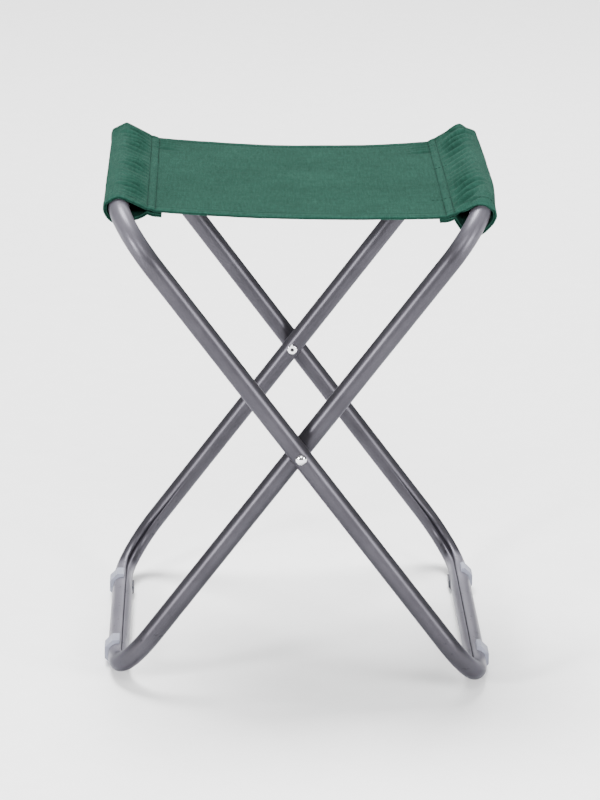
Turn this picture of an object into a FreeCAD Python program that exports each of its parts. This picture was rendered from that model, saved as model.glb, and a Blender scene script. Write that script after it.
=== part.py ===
"""Folding camp stool: two crossed loops of bent tube, riveted where they cross, with a cloth seat.

Frame: +Z up, +X to the right, the front towards -Y.  The origin is on the floor under the pivot.
The outer loop has its seat bar on the left and its floor bar on the right.
The inner loop is narrower, leans the other way and turns about the two rivets.
"""
import FreeCAD
import Part
import math
import os

# Driving dimensions, in millimetres.
TUBE_RADIUS = 8.0
TUBE_WALL = 1.2
BEND_RADIUS = 48.0          # centreline of every bend, three tube diameters
SEAT_BAR_X = 141.0          # each seat bar's axis, left or right of the pivot
FLOOR_BAR_X = 144.5         # each floor bar's axis, right or left of the pivot
BAR_RISE = 380.4            # floor-bar axis to seat-bar axis, upright
FLOOR_BAR_Z = 11.0          # floor-bar axis above the floor
OUTER_LEG_Y = 156.2         # axis of the outer loop's legs
SIDE_GAP = 1.8              # between an outer leg and the inner leg beside it

TUBE_END_GAP = 0.3          # half the gap where a loop's two ends meet in its seat bar
JOINER_LENGTH = 70.0
JOINER_CLEARANCE = 0.05
JOINER_WALL = 1.5

CREASE_RADIUS = 1.0         # pressed line along the inner side of the floor bar and its bends
CREASE_DEPTH = 0.5
CREASE_UP_LEG = 55.0
CREASE_TURN = 14.0          # degrees round the tube, from the loop's plane towards the top

SHANK_RADIUS = 2.5
SHANK_FIT = 0.03            # in the outer leg, which holds the rivet
SHANK_RUNNING_FIT = 0.06    # in the inner leg, which turns on it
HEAD_RADIUS = 4.2
HEAD_SKIRT = 0.5
HEAD_RISE = 2.0
TAIL_RADIUS = 4.1
TAIL_THICKNESS = 1.5
TAIL_HOLLOW_RADIUS = 1.7
TAIL_HOLLOW_DEPTH = 5.0
TAIL_CLEARANCE = 0.3

WASHER_RADIUS = 6.5
WASHER_THICKNESS = 1.4
WASHER_SEAT = 0.05          # between a washer and its outer leg
WASHER_BORE_FIT = 0.04

FOOT_LENGTH = 15.5
OUTER_FOOT_SETBACK = 11.0   # from the start of the outer loop's floor bar bend to the foot
INNER_FOOT_SETBACK = 7.0    # the same on the inner loop
FOOT_WALL = 3.9             # at the corners, between the flats
FOOT_FLATS = 8              # round the outside; the lowest one is the sole
FOOT_INNER_WALL = 1.5       # on the side towards the middle of the stool
FOOT_FIT = 0.03
OUTER_FOOT_TOP_LIP = 45.0   # degrees from the loop's plane to each lip; the tube is bare between
INNER_FOOT_TOP_LIP = 30.0
FOOT_LOW_LIP = 54.0
FOOT_LIP_ROUND = 0.9

CLOTH = 1.3                 # seat cloth, two layers and a seam
CLOTH_FIT = 0.3
SLEEVE_HALF_LENGTH = 120.0
SLEEVE_TIP = 14.0           # bar axis to the point where the sleeve closes
TUBE_ROOM = 0.25            # round the tube where it leaves the sleeve
PANEL_HALF_WIDTH_END = 120.0
PANEL_HALF_WIDTH_MIDDLE = 116.5
PANEL_DROP = 3.0            # panel's ends below the seat-bar axes
PANEL_SAG = 4.0
PANEL_GAP = 0.4             # between the panel and each sleeve

# Worked out from them.
INNER_LEG_Y = OUTER_LEG_Y - 2.0 * TUBE_RADIUS - SIDE_GAP
LEG_RUN = SEAT_BAR_X + FLOOR_BAR_X
LEG_LENGTH = math.hypot(LEG_RUN, BAR_RISE)
SEAT_BAR_Z = FLOOR_BAR_Z + BAR_RISE
PIVOT_Z = FLOOR_BAR_Z + BAR_RISE * FLOOR_BAR_X / LEG_RUN

OUTER = -1.0                # which way a loop's seat bar lies along X
INNER = 1.0
FRONT = -1.0
REAR = 1.0


def vec(x, y, z):
    return FreeCAD.Vector(x, y, z)


def on_loop(side, down, y):
    """A point in a loop's plane: `down` the legs from the seat-bar axis, and `y` across."""
    x = side * (SEAT_BAR_X - LEG_RUN * down / LEG_LENGTH)
    return vec(x, y, SEAT_BAR_Z - BAR_RISE * down / LEG_LENGTH)


def plane_up(side):
    """Unit normal of a loop's plane, on the side that faces up."""
    return vec(-side * BAR_RISE / LEG_LENGTH, 0.0, LEG_RUN / LEG_LENGTH)


def leg_y(side):
    return OUTER_LEG_Y if side == OUTER else INNER_LEG_Y


def line(a, b):
    return Part.makeLine(a, b)


def bend(side, down, y, down_sign, y_sign, radius):
    """A quarter turn about (down, y); the signs say which corner of the loop it rounds."""
    start = on_loop(side, down, y + y_sign * radius)
    half = radius * math.sqrt(0.5)
    middle = on_loop(side, down + down_sign * half, y + y_sign * half)
    end = on_loop(side, down + down_sign * radius, y)
    return Part.Arc(start, middle, end).toShape()


def loop_path(side, end_gap):
    """Centreline of a whole loop, open by `end_gap` each side of the seat bar's middle."""
    legs = leg_y(side)
    turn = legs - BEND_RADIUS
    low = LEG_LENGTH - BEND_RADIUS
    edges = [line(on_loop(side, 0.0, end_gap), on_loop(side, 0.0, turn))]
    edges.append(bend(side, BEND_RADIUS, turn, -1.0, 1.0, BEND_RADIUS))
    edges.append(line(on_loop(side, BEND_RADIUS, legs), on_loop(side, low, legs)))
    edges.append(bend(side, low, turn, 1.0, 1.0, BEND_RADIUS))
    edges.append(line(on_loop(side, LEG_LENGTH, turn), on_loop(side, LEG_LENGTH, -turn)))
    edges.append(bend(side, low, -turn, 1.0, -1.0, BEND_RADIUS))
    edges.append(line(on_loop(side, low, -legs), on_loop(side, BEND_RADIUS, -legs)))
    edges.append(bend(side, BEND_RADIUS, -turn, -1.0, -1.0, BEND_RADIUS))
    edges.append(line(on_loop(side, 0.0, -turn), on_loop(side, 0.0, -end_gap)))
    return Part.Wire(Part.__sortEdges__(edges))


def crease_path(side):
    """Line of the pressed crease: along the loop's inner side, from leg to leg round the floor bar."""
    reach = TUBE_RADIUS + CREASE_RADIUS - CREASE_DEPTH
    inset = reach * math.cos(math.radians(CREASE_TURN))
    legs = leg_y(side)
    turn = legs - BEND_RADIUS
    low = LEG_LENGTH - BEND_RADIUS
    top = low - CREASE_UP_LEG
    small = BEND_RADIUS - inset
    edges = [line(on_loop(side, top, legs - inset), on_loop(side, low, legs - inset))]
    edges.append(bend(side, low, turn, 1.0, 1.0, small))
    edges.append(line(on_loop(side, LEG_LENGTH - inset, turn), on_loop(side, LEG_LENGTH - inset, -turn)))
    edges.append(bend(side, low, -turn, 1.0, -1.0, small))
    edges.append(line(on_loop(side, low, inset - legs), on_loop(side, top, inset - legs)))
    path = Part.Wire(Part.__sortEdges__(edges))
    path.translate(plane_up(side) * reach * math.sin(math.radians(CREASE_TURN)))
    return path


def sweep(path, radius):
    """A solid round bar along a path."""
    start = path.OrderedVertexes[0].Point
    first = path.OrderedEdges[0]
    along = first.tangentAt(first.FirstParameter)
    if first.valueAt(first.FirstParameter).distanceToPoint(start) > 0.001:
        along = first.tangentAt(first.LastParameter)
    ring = Part.Wire(Part.makeCircle(radius, start, along))
    return path.makePipeShell([ring], True, False)


def leg_bore(side, radius):
    """Two holes' worth of bar, across both legs of a loop at the pivot."""
    reach = leg_y(side) + 2.0 * TUBE_RADIUS
    return Part.makeCylinder(radius, 2.0 * reach, vec(0.0, -reach, PIVOT_Z), vec(0.0, 1.0, 0.0))


def frame_tube(side, rivet_fit):
    outside = sweep(loop_path(side, TUBE_END_GAP), TUBE_RADIUS)
    inside = sweep(loop_path(side, 0.5 * TUBE_END_GAP), TUBE_RADIUS - TUBE_WALL)
    tube = outside.cut(inside)
    tube = tube.cut(leg_bore(side, SHANK_RADIUS + rivet_fit))
    return tube.cut(sweep(crease_path(side), CREASE_RADIUS))


def frame_joiner(side):
    """Short inner tube that holds a loop's two ends in line, inside the seat bar."""
    radius = TUBE_RADIUS - TUBE_WALL - JOINER_CLEARANCE
    start = on_loop(side, 0.0, -0.5 * JOINER_LENGTH)
    along = vec(0.0, 1.0, 0.0)
    outside = Part.makeCylinder(radius, JOINER_LENGTH, start, along)
    return outside.cut(Part.makeCylinder(radius - JOINER_WALL, JOINER_LENGTH, start, along))


def across(radius, from_y, to_y, end):
    """A round bar along the pivot axis, between two distances from the middle, at one end."""
    start = vec(0.0, end * from_y, PIVOT_Z)
    return Part.makeCylinder(radius, to_y - from_y, start, vec(0.0, end, 0.0))


def rivet_head(end):
    """Low dome whose underside is pressed to the round of the outer leg."""
    crown = OUTER_LEG_Y + TUBE_RADIUS
    rim = crown + HEAD_SKIRT
    ball = (HEAD_RADIUS ** 2 + HEAD_RISE ** 2) / (2.0 * HEAD_RISE)
    dome = Part.makeSphere(ball, vec(0.0, end * (rim + HEAD_RISE - ball), PIVOT_Z))
    dome = dome.common(across(HEAD_RADIUS, rim, rim + HEAD_RISE + 1.0, end))
    skirt = across(HEAD_RADIUS, crown - 0.5 * TUBE_RADIUS, rim, end)
    leg_axis = on_loop(OUTER, 0.0, end * OUTER_LEG_Y)
    leg_line = on_loop(OUTER, LEG_LENGTH, end * OUTER_LEG_Y) - leg_axis
    leg = Part.makeCylinder(TUBE_RADIUS + 0.01, LEG_LENGTH, leg_axis, leg_line)
    return dome.fuse(skirt).cut(leg)


def pivot_rivet(end):
    """Semi-tubular rivet: dome outside, shank through both legs, rolled hollow end inside."""
    inside = INNER_LEG_Y - TUBE_RADIUS - TAIL_CLEARANCE
    tail = inside - TAIL_THICKNESS
    shank = across(SHANK_RADIUS, tail, OUTER_LEG_Y + TUBE_RADIUS + 0.2, end)
    roll = across(TAIL_RADIUS, tail, inside, end)
    rim = [edge for edge in roll.Edges if abs(edge.CenterOfMass.y - end * tail) < 0.01]
    roll = roll.makeFillet(0.45 * TAIL_THICKNESS, rim[:1])
    rivet = rivet_head(end).fuse(shank).fuse(roll)
    hollow = across(TAIL_HOLLOW_RADIUS, tail - 0.5, tail + TAIL_HOLLOW_DEPTH, end)
    return rivet.cut(hollow).removeSplitter()


def spacer_washer(end):
    outside = OUTER_LEG_Y - TUBE_RADIUS - WASHER_SEAT
    inside = outside - WASHER_THICKNESS
    ring = across(WASHER_RADIUS, inside, outside, end)
    return ring.cut(across(SHANK_RADIUS + WASHER_BORE_FIT, inside - 1.0, outside + 1.0, end))


def rotated(direction, degrees):
    """A direction in the XZ plane, turned about Y."""
    angle = math.radians(degrees)
    x = direction.x * math.cos(angle) + direction.z * math.sin(angle)
    z = direction.z * math.cos(angle) - direction.x * math.sin(angle)
    return vec(x, 0.0, z)


def foot_outline(start):
    """Outside of a foot before its mouth is cut: a round bar with flats, the lowest on the floor."""
    along = vec(0.0, FOOT_LENGTH, 0.0)
    corner = FLOOR_BAR_Z / math.cos(math.pi / FOOT_FLATS)
    turns = [(k + 0.5) * 360.0 / FOOT_FLATS for k in range(FOOT_FLATS)]
    corners = [start + rotated(vec(0.0, 0.0, corner), turn) for turn in turns]
    prism = Part.Face(Part.makePolygon(corners + corners[:1])).extrude(along)
    return prism.common(Part.makeCylinder(TUBE_RADIUS + FOOT_WALL, FOOT_LENGTH, start, along))


def foot(side, end):
    """C-shaped clip snapped on the floor bar, with its mouth up the legs and a flat sole."""
    setback = OUTER_FOOT_SETBACK if side == OUTER else INNER_FOOT_SETBACK
    top_lip = OUTER_FOOT_TOP_LIP if side == OUTER else INNER_FOOT_TOP_LIP
    outer_end = leg_y(side) - BEND_RADIUS - setback
    start = on_loop(side, LEG_LENGTH, end * (outer_end - 0.5 * FOOT_LENGTH) - 0.5 * FOOT_LENGTH)
    along = vec(0.0, 1.0, 0.0)
    body = foot_outline(start)
    body = body.cut(Part.makeCylinder(TUBE_RADIUS + FOOT_FIT, FOOT_LENGTH, start, along))
    reach = 3.0 * TUBE_RADIUS
    up_leg = (on_loop(side, 0.0, 0.0) - on_loop(side, LEG_LENGTH, 0.0)).normalize()
    lips = [rotated(up_leg, -side * top_lip), rotated(up_leg, side * FOOT_LOW_LIP)]
    corners = [start, start + lips[0] * reach, start + up_leg * 2.0 * reach, start + lips[1] * reach, start]
    mouth = Part.Face(Part.makePolygon(corners)).extrude(along * FOOT_LENGTH)
    inner_face = start.x + side * (TUBE_RADIUS + FOOT_INNER_WALL)
    low_corner = vec(min(inner_face, inner_face + side * reach), start.y, -reach)
    inner_side = Part.makeBox(reach, FOOT_LENGTH, 4.0 * reach, low_corner)
    clip = body.cut(mouth).cut(inner_side)
    return clip.makeFillet(FOOT_LIP_ROUND, [edge for edge in clip.Edges if is_lip(edge, start, lips)])


def is_lip(edge, start, lips):
    """The outer long edges beside a foot's mouth."""
    if abs(edge.Length - FOOT_LENGTH) > 0.01:
        return False
    arm = edge.CenterOfMass - start
    arm.y = 0.0
    outside = arm.Length > TUBE_RADIUS + 0.5 * FOOT_INNER_WALL
    return outside and max(arm.normalize().dot(lip) for lip in lips) > 0.9999


def teardrop(side, radius, tip):
    """Section of a sleeve: round the bar, closing to a point `tip` inboard of the bar axis."""
    angle = math.acos(radius / tip)
    centre = on_loop(side, 0.0, -SLEEVE_HALF_LENGTH)
    inboard = vec(-side, 0.0, 0.0)
    upper = centre + rotated(inboard, side * math.degrees(angle)) * radius
    lower = centre + rotated(inboard, -side * math.degrees(angle)) * radius
    point = centre + inboard * tip
    around = Part.Arc(upper, centre - inboard * radius, lower).toShape()
    outline = Part.Wire([around, line(lower, point), line(point, upper)])
    return Part.Face(outline).extrude(vec(0.0, 2.0 * SLEEVE_HALF_LENGTH, 0.0))


def seat_sleeve(side):
    """Loop of seat cloth round a seat bar, notched below where the tube bends out of it."""
    outside = TUBE_RADIUS + CLOTH_FIT + CLOTH
    inner_tip = SLEEVE_TIP * (TUBE_RADIUS + CLOTH_FIT) / outside
    shell = teardrop(side, outside, SLEEVE_TIP)
    shell = shell.cut(teardrop(side, TUBE_RADIUS + CLOTH_FIT, inner_tip))
    return shell.cut(sweep(loop_path(side, TUBE_END_GAP), TUBE_RADIUS + TUBE_ROOM))


def arch(half, z_end, z_middle):
    """An arc in the XZ plane, from -half to half."""
    return Part.Arc(vec(-half, 0.0, z_end), vec(0.0, 0.0, z_middle), vec(half, 0.0, z_end)).toShape()


def seat_panel():
    """Cloth between the two sleeves: a shallow hanging sheet with its long edges drawn in."""
    half = SEAT_BAR_X - SLEEVE_TIP - PANEL_GAP
    top = SEAT_BAR_Z - PANEL_DROP + 0.5 * CLOTH
    low = top - CLOTH
    edges = [arch(half, top, top - PANEL_SAG), line(vec(half, 0.0, top), vec(half, 0.0, low))]
    edges.append(arch(half, low, low - PANEL_SAG))
    edges.append(line(vec(-half, 0.0, low), vec(-half, 0.0, top)))
    section = Part.Face(Part.Wire(Part.__sortEdges__(edges)))
    sheet = section.extrude(vec(0.0, 2.0 * PANEL_HALF_WIDTH_END, 0.0))
    sheet.translate(vec(0.0, -PANEL_HALF_WIDTH_END, 0.0))
    plan = []
    for end in (FRONT, REAR):
        corner = end * PANEL_HALF_WIDTH_END
        middle = vec(0.0, end * PANEL_HALF_WIDTH_MIDDLE, 0.0)
        plan.append(Part.Arc(vec(-half, corner, 0.0), middle, vec(half, corner, 0.0)).toShape())
    for x in (-half, half):
        plan.append(line(vec(x, -PANEL_HALF_WIDTH_END, 0.0), vec(x, PANEL_HALF_WIDTH_END, 0.0)))
    outline = Part.Face(Part.Wire(Part.__sortEdges__(plan)))
    return sheet.common(outline.extrude(vec(0.0, 0.0, SEAT_BAR_Z + 50.0)))


def all_parts():
    parts = {}
    parts["outer_frame_tube"] = frame_tube(OUTER, SHANK_FIT)
    parts["inner_frame_tube"] = frame_tube(INNER, SHANK_RUNNING_FIT)
    parts["outer_frame_joiner"] = frame_joiner(OUTER)
    parts["inner_frame_joiner"] = frame_joiner(INNER)
    for name, end in (("front", FRONT), ("rear", REAR)):
        parts[name + "_pivot_rivet"] = pivot_rivet(end)
        parts[name + "_spacer_washer"] = spacer_washer(end)
        parts["outer_" + name + "_foot"] = foot(OUTER, end)
        parts["inner_" + name + "_foot"] = foot(INNER, end)
    parts["outer_seat_sleeve"] = seat_sleeve(OUTER)
    parts["inner_seat_sleeve"] = seat_sleeve(INNER)
    parts["seat_panel"] = seat_panel()
    return parts


def main():
    os.makedirs("parts", exist_ok=True)
    for name, shape in all_parts().items():
        shape.exportStep(os.path.join("parts", name + ".step"))


main()
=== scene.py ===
"""Looks of the folding camp stool: bent-tube loops, clip-on feet, rivets and a sewn cloth seat.

Everything is in metres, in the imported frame: +Z up, the front towards -Y, the origin on the floor.
Positions come from the CAD nodes' boxes.
"""
import bpy
import math
import random
import numpy as np
from mathutils import Matrix, Vector, noise


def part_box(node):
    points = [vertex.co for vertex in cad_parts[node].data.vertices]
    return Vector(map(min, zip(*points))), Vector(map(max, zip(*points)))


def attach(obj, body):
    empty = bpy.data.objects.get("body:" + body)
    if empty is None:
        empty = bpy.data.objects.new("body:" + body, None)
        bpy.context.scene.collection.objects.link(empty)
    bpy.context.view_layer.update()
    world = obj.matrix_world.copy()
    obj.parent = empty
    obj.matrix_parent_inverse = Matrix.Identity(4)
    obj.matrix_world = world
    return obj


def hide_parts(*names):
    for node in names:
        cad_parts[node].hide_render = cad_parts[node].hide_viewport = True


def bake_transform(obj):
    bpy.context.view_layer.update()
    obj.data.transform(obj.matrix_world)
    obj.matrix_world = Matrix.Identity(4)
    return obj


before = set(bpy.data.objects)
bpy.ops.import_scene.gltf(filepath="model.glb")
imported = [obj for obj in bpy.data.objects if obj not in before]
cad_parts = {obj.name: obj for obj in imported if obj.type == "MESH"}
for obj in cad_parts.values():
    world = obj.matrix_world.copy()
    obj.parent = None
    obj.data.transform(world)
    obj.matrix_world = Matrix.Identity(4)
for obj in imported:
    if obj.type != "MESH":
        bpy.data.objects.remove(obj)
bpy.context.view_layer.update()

MM = 0.001
OUTER, INNER = -1.0, 1.0          # which way a loop's seat bar lies along X
FRONT, REAR = -1.0, 1.0


# -------- what the frame says

def middle(node):
    """Centre of a CAD node's box."""
    low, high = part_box(node)
    return (Vector(low) + Vector(high)) / 2.0


BAR = {OUTER: middle("outer_frame_joiner"), INNER: middle("inner_frame_joiner")}
TUBE_BOX = {OUTER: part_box("outer_frame_tube"), INNER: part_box("inner_frame_tube")}
TUBE_R = TUBE_BOX[OUTER][1][2] - BAR[OUTER].z
LEG_Y = {side: TUBE_BOX[side][1][1] - TUBE_R for side in (OUTER, INNER)}
FLOOR_Z = TUBE_BOX[OUTER][0][2] + TUBE_R
FLOOR_X = {OUTER: TUBE_BOX[OUTER][1][0] - TUBE_R, INNER: TUBE_BOX[INNER][0][0] + TUBE_R}
BEND_R = 6.0 * TUBE_R
PIVOT = middle("front_pivot_rivet")
PIVOT.y = 0.0
SLEEVE_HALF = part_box("outer_seat_sleeve")[1][1]


def down_leg(side):
    """Unit direction from a loop's seat bar to its floor bar, and the distance."""
    step = Vector((FLOOR_X[side] - BAR[side].x, 0.0, FLOOR_Z - BAR[side].z))
    return step.normalized(), step.length


# -------- small helpers

def smooth(a, b, x):
    """0 below a, 1 above b, and a smooth step between; works on numbers and arrays."""
    t = np.clip((x - a) / (b - a), 0.0, 1.0)
    return t * t * (3.0 - 2.0 * t)


def bump(x, centre, width):
    """1 at the centre, falling away to nothing over about twice the width."""
    return np.exp(-(((x - centre) / width) ** 2))


def new_object(name, points, faces):
    """A smooth-shaded mesh object, linked to the scene."""
    mesh = bpy.data.meshes.new(name)
    mesh.from_pydata([tuple(p) for p in points], [], faces)
    mesh.update()
    for polygon in mesh.polygons:
        polygon.use_smooth = True
    obj = bpy.data.objects.new(name, mesh)
    bpy.context.scene.collection.objects.link(obj)
    return obj


def bake_modifiers(obj):
    """Replaces an object's mesh by what its modifiers make of it."""
    graph = bpy.context.evaluated_depsgraph_get()
    made = bpy.data.meshes.new_from_object(obj.evaluated_get(graph))
    obj.modifiers.clear()
    obj.data = made


# -------- materials

class Nodes:
    """Short names for building the node tree of a material, or of the world."""

    def __init__(self, name, world=False):
        self.owner = (bpy.data.worlds if world else bpy.data.materials).new(name)
        self.owner.use_nodes = True
        self.tree = self.owner.node_tree
        self.shader = self.tree.nodes["Background" if world else "Principled BSDF"]

    def add(self, kind, settings=None, **inputs):
        node = self.tree.nodes.new(kind)
        for key, value in (settings or {}).items():
            setattr(node, key, value)
        for key, value in inputs.items():
            self.feed(node, key.replace("_", " "), value)
        return node

    def feed(self, node, key, value):
        socket = node.inputs[int(key)] if key.isdigit() else node.inputs[key]
        if isinstance(value, bpy.types.NodeSocket):
            self.tree.links.new(value, socket)
        else:
            socket.default_value = value

    def math(self, operation, a, b=0.0, c=0.0):
        node = self.add("ShaderNodeMath", {"operation": operation})
        for key, value in (("0", a), ("1", b), ("2", c)):
            self.feed(node, key, value)
        return node.outputs[0]

    def ramp(self, factor, *stops):
        node = self.add("ShaderNodeValToRGB", Fac=factor)
        elements = node.color_ramp.elements
        while len(elements) < len(stops):
            elements.new(0.5)
        for element, (place, colour) in zip(elements, stops):
            element.position = place
            element.color = (*colour, 1.0)
        return node.outputs[0]

    def mix(self, factor, a, b, blend="MIX"):
        node = self.add("ShaderNodeMix", {"data_type": "RGBA", "blend_type": blend})
        self.feed(node, "0", factor)
        for key, value in (("6", a), ("7", b)):
            self.feed(node, key, value if isinstance(value, bpy.types.NodeSocket) else (*value, 1.0))
        return node.outputs[2]

    def noise(self, vector, scale, detail=2.0, roughness=0.5):
        node = self.add("ShaderNodeTexNoise", Scale=scale, Detail=detail, Roughness=roughness)
        self.feed(node, "Vector", vector)
        return node.outputs[0]

    def position(self):
        return self.add("ShaderNodeTexCoord").outputs["Object"]

    def scaled(self, vector, factors):
        node = self.add("ShaderNodeVectorMath", {"operation": "MULTIPLY"})
        self.feed(node, "0", vector)
        self.feed(node, "1", factors)
        return node.outputs[0]

    def bumps(self, *layers):
        """Stacks relief on the normal; each layer is (height socket, strength, metres)."""
        normal = None
        for height, strength, distance in layers:
            node = self.add("ShaderNodeBump", Strength=strength, Distance=distance, Height=height)
            if normal:
                self.feed(node, "Normal", normal)
            normal = node.outputs[0]
        self.feed(self.shader, "Normal", normal)

    def set(self, **values):
        for key, value in values.items():
            self.feed(self.shader, key.replace("_", " "), value)


def plain_weave(n, u, v):
    """Height of a plain weave, 0 to 1, where u and v count yarns."""
    humps = [n.math("SINE", n.math("MULTIPLY", n.math("FRACT", w), math.pi)) for w in (u, v)]
    warp, weft = (n.math("MULTIPLY", n.math("POWER", a, 0.6), n.math("MULTIPLY_ADD", b, 0.5, 0.5))
                  for a, b in (humps, humps[::-1]))
    cells = n.math("ADD", n.math("FLOOR", u), n.math("FLOOR", v))
    over = n.math("PINGPONG", cells, 1.0)
    under = n.math("SUBTRACT", 1.0, over)
    return n.math("ADD", n.math("MULTIPLY", warp, over), n.math("MULTIPLY", weft, under))


def cloth_material():
    n = Nodes("seat_cloth")
    uv = n.add("ShaderNodeUVMap", {"uv_map": "weave"}).outputs[0]
    parts = n.add("ShaderNodeSeparateXYZ", Vector=uv)
    wobble = n.noise(n.scaled(uv, (0.05, 0.05, 0.0)), 1.0, 2.0)
    shift = n.math("MULTIPLY", n.math("SUBTRACT", wobble, 0.5), 0.9)
    u = n.math("ADD", parts.outputs[0], shift)
    v = n.math("ADD", parts.outputs[1], shift)
    weave = plain_weave(n, u, v)
    place = n.position()
    slubs_u = n.noise(n.scaled(uv, (0.9, 0.02, 0.0)), 1.0, 1.0)
    slubs_v = n.noise(n.scaled(uv, (0.02, 0.9, 0.0)), 1.0, 1.0)
    slubs = n.math("ADD", slubs_u, slubs_v)
    broad = n.noise(place, 22.0, 3.0, 0.55)
    fine = n.noise(n.scaled(uv, (0.26, 0.07, 0.0)), 1.0, 2.0, 0.6)
    tone = n.math("ADD", n.math("MULTIPLY", broad, 0.20), n.math("MULTIPLY", slubs, 0.30))
    tone = n.math("ADD", tone, n.math("MULTIPLY", fine, 0.30))
    base = n.ramp(tone, (0.40, (0.0043, 0.0260, 0.0175)), (0.55, (0.0083, 0.0395, 0.0270)),
                  (0.70, (0.0142, 0.0570, 0.0405)))
    yarn = n.ramp(weave, (0.05, (0.50, 0.50, 0.50)), (0.55, (1.0, 1.0, 1.0)))
    colour = n.mix(0.80, base, yarn, "MULTIPLY")
    rub = n.add("ShaderNodeAttribute", {"attribute_name": "rub"}).outputs["Fac"]
    rub = n.math("MULTIPLY", rub, n.math("MULTIPLY_ADD", fine, 0.8, 0.1))
    colour = n.mix(n.math("MULTIPLY", rub, 0.35), colour, (0.030, 0.090, 0.070))
    # Painted shade: the cloth is darker in its sunk rows, wrinkle valleys, hem grooves and under layers.
    shade = n.add("ShaderNodeAttribute", {"attribute_name": "painted_shade"}).outputs["Fac"]
    colour = n.mix(n.math("MULTIPLY", shade, 0.6), colour, (0.002, 0.013, 0.009))
    n.set(Base_Color=colour, Roughness=n.math("MULTIPLY_ADD", weave, -0.12, 0.90), Sheen_Weight=0.02,
          Sheen_Roughness=0.45, Sheen_Tint=(0.45, 0.80, 0.66, 1.0), Specular_IOR_Level=0.05)
    n.bumps((broad, 0.20, 0.0010), (fine, 0.5, 0.00025), (slubs, 0.4, 0.00012), (weave, 0.8, 0.00018))
    return n.owner


def thread_material():
    n = Nodes("seat_thread")
    place = n.position()
    twist = n.noise(place, 2600.0, 2.0)
    tone = n.noise(place, 90.0, 1.0)
    # Darker than the cloth: partly the thread's own colour, partly painted shade of the sunk stitches.
    colour = n.ramp(tone, (0.3, (0.004, 0.018, 0.013)), (0.7, (0.008, 0.030, 0.022)))
    n.set(Base_Color=colour, Roughness=n.math("MULTIPLY_ADD", twist, 0.2, 0.70), Specular_IOR_Level=0.08)
    n.bumps((twist, 0.6, 0.00005))
    return n.owner


def tube_material():
    n = Nodes("frame_paint")
    place = n.position()
    uv = n.add("ShaderNodeUVMap", {"uv_map": "along"}).outputs[0]
    streaks = n.noise(n.scaled(uv, (6.0, 420.0, 0.0)), 1.0, 3.0, 0.6)
    broad = n.noise(place, 30.0, 3.0)
    flake = n.noise(place, 3200.0, 1.0)
    peel = n.noise(place, 620.0, 2.0)
    pale = n.add("ShaderNodeAttribute", {"attribute_name": "painted_light"}).outputs["Fac"]
    crease_mask = n.add("ShaderNodeAttribute", {"attribute_name": "crease"}).outputs["Fac"]
    tone = n.math("ADD", n.math("MULTIPLY", streaks, 0.5), n.math("MULTIPLY", broad, 0.35))
    tone = n.math("ADD", tone, n.math("MULTIPLY", flake, 0.15))
    # One paint in two copies: the bars' paler ramp is painted light, used where the floor bars and upper
    # bends face the overhead light.
    legs = n.ramp(tone, (0.36, (0.036, 0.034, 0.040)), (0.64, (0.062, 0.059, 0.069)))
    bars = n.ramp(tone, (0.36, (0.100, 0.096, 0.115)), (0.64, (0.146, 0.140, 0.164)))
    colour = n.mix(pale, legs, bars)
    low = n.add("ShaderNodeSeparateXYZ", Vector=place).outputs[2]
    near_floor = n.add("ShaderNodeMapRange", Value=low, From_Min=0.085, From_Max=0.045)
    specks = n.math("GREATER_THAN", n.noise(place, 210.0, 3.0, 0.6), 0.66)
    worn = n.math("MULTIPLY", n.math("MULTIPLY", specks, near_floor.outputs[0]), 0.45)
    colour = n.mix(worn, colour, (0.014, 0.013, 0.016))
    # Painted shade: the crease's dent is darkened almost to black.
    painted_crease_shade = n.math("MINIMUM", n.math("MULTIPLY", crease_mask, 1.5), 1.0)
    colour = n.mix(painted_crease_shade, colour, (0.010, 0.009, 0.012))
    rough = n.math("MULTIPLY_ADD", streaks, 0.14, 0.30)
    rough = n.math("ADD", rough, n.math("MULTIPLY", crease_mask, 0.3))
    n.set(Base_Color=colour, Roughness=rough, Metallic=n.math("MULTIPLY_ADD", pale, -0.40, 0.62),
          Specular_IOR_Level=0.35, Specular_Tint=(0.40, 0.40, 0.46, 1.0))
    n.bumps((peel, 0.15, 0.00004), (streaks, 0.12, 0.00004))
    return n.owner


LIP_SHADE_X = abs(FLOOR_X[OUTER]) - 5.5 * MM      # inboard of here the clips' lips are darker: painted shade, as they face away from the light


def foot_material():
    n = Nodes("foot_plastic")
    place = n.position()
    broad = n.noise(place, 55.0, 3.0)
    grain = n.noise(place, 1500.0, 2.0)
    scuff = n.noise(n.scaled(place, (60.0, 400.0, 900.0)), 1.0, 4.0, 0.7)
    axes = n.add("ShaderNodeSeparateXYZ", Vector=place).outputs
    worn = n.math("SUBTRACT", 1.0, n.math("DIVIDE", axes[2], 0.006))
    worn = n.add("ShaderNodeClamp", Value=worn).outputs[0]
    scuffed = n.math("GREATER_THAN", scuff, 0.58)
    marks = n.math("MULTIPLY", scuffed, n.math("MULTIPLY_ADD", worn, 0.5, 0.06))
    colour = n.ramp(broad, (0.35, (0.182, 0.190, 0.240)), (0.70, (0.222, 0.230, 0.284)))
    colour = n.mix(marks, colour, (0.11, 0.11, 0.12))
    # Painted shade on the clips' inboard lips.
    lips = n.add("ShaderNodeMapRange", Value=n.math("ABSOLUTE", axes[0]),
                 From_Min=LIP_SHADE_X, From_Max=LIP_SHADE_X - 1.5 * MM)
    colour = n.mix(n.math("MULTIPLY", lips.outputs[0], 0.9), colour, (0.030, 0.030, 0.036))
    n.set(Base_Color=colour, Roughness=n.math("MULTIPLY_ADD", grain, 0.16, 0.36), Specular_IOR_Level=0.45,
          Subsurface_Weight=0.08, Subsurface_Radius=(0.003, 0.003, 0.004), Subsurface_Scale=0.4)
    n.bumps((grain, 0.25, 0.00004), (scuff, 0.20, 0.00008))
    return n.owner


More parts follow.
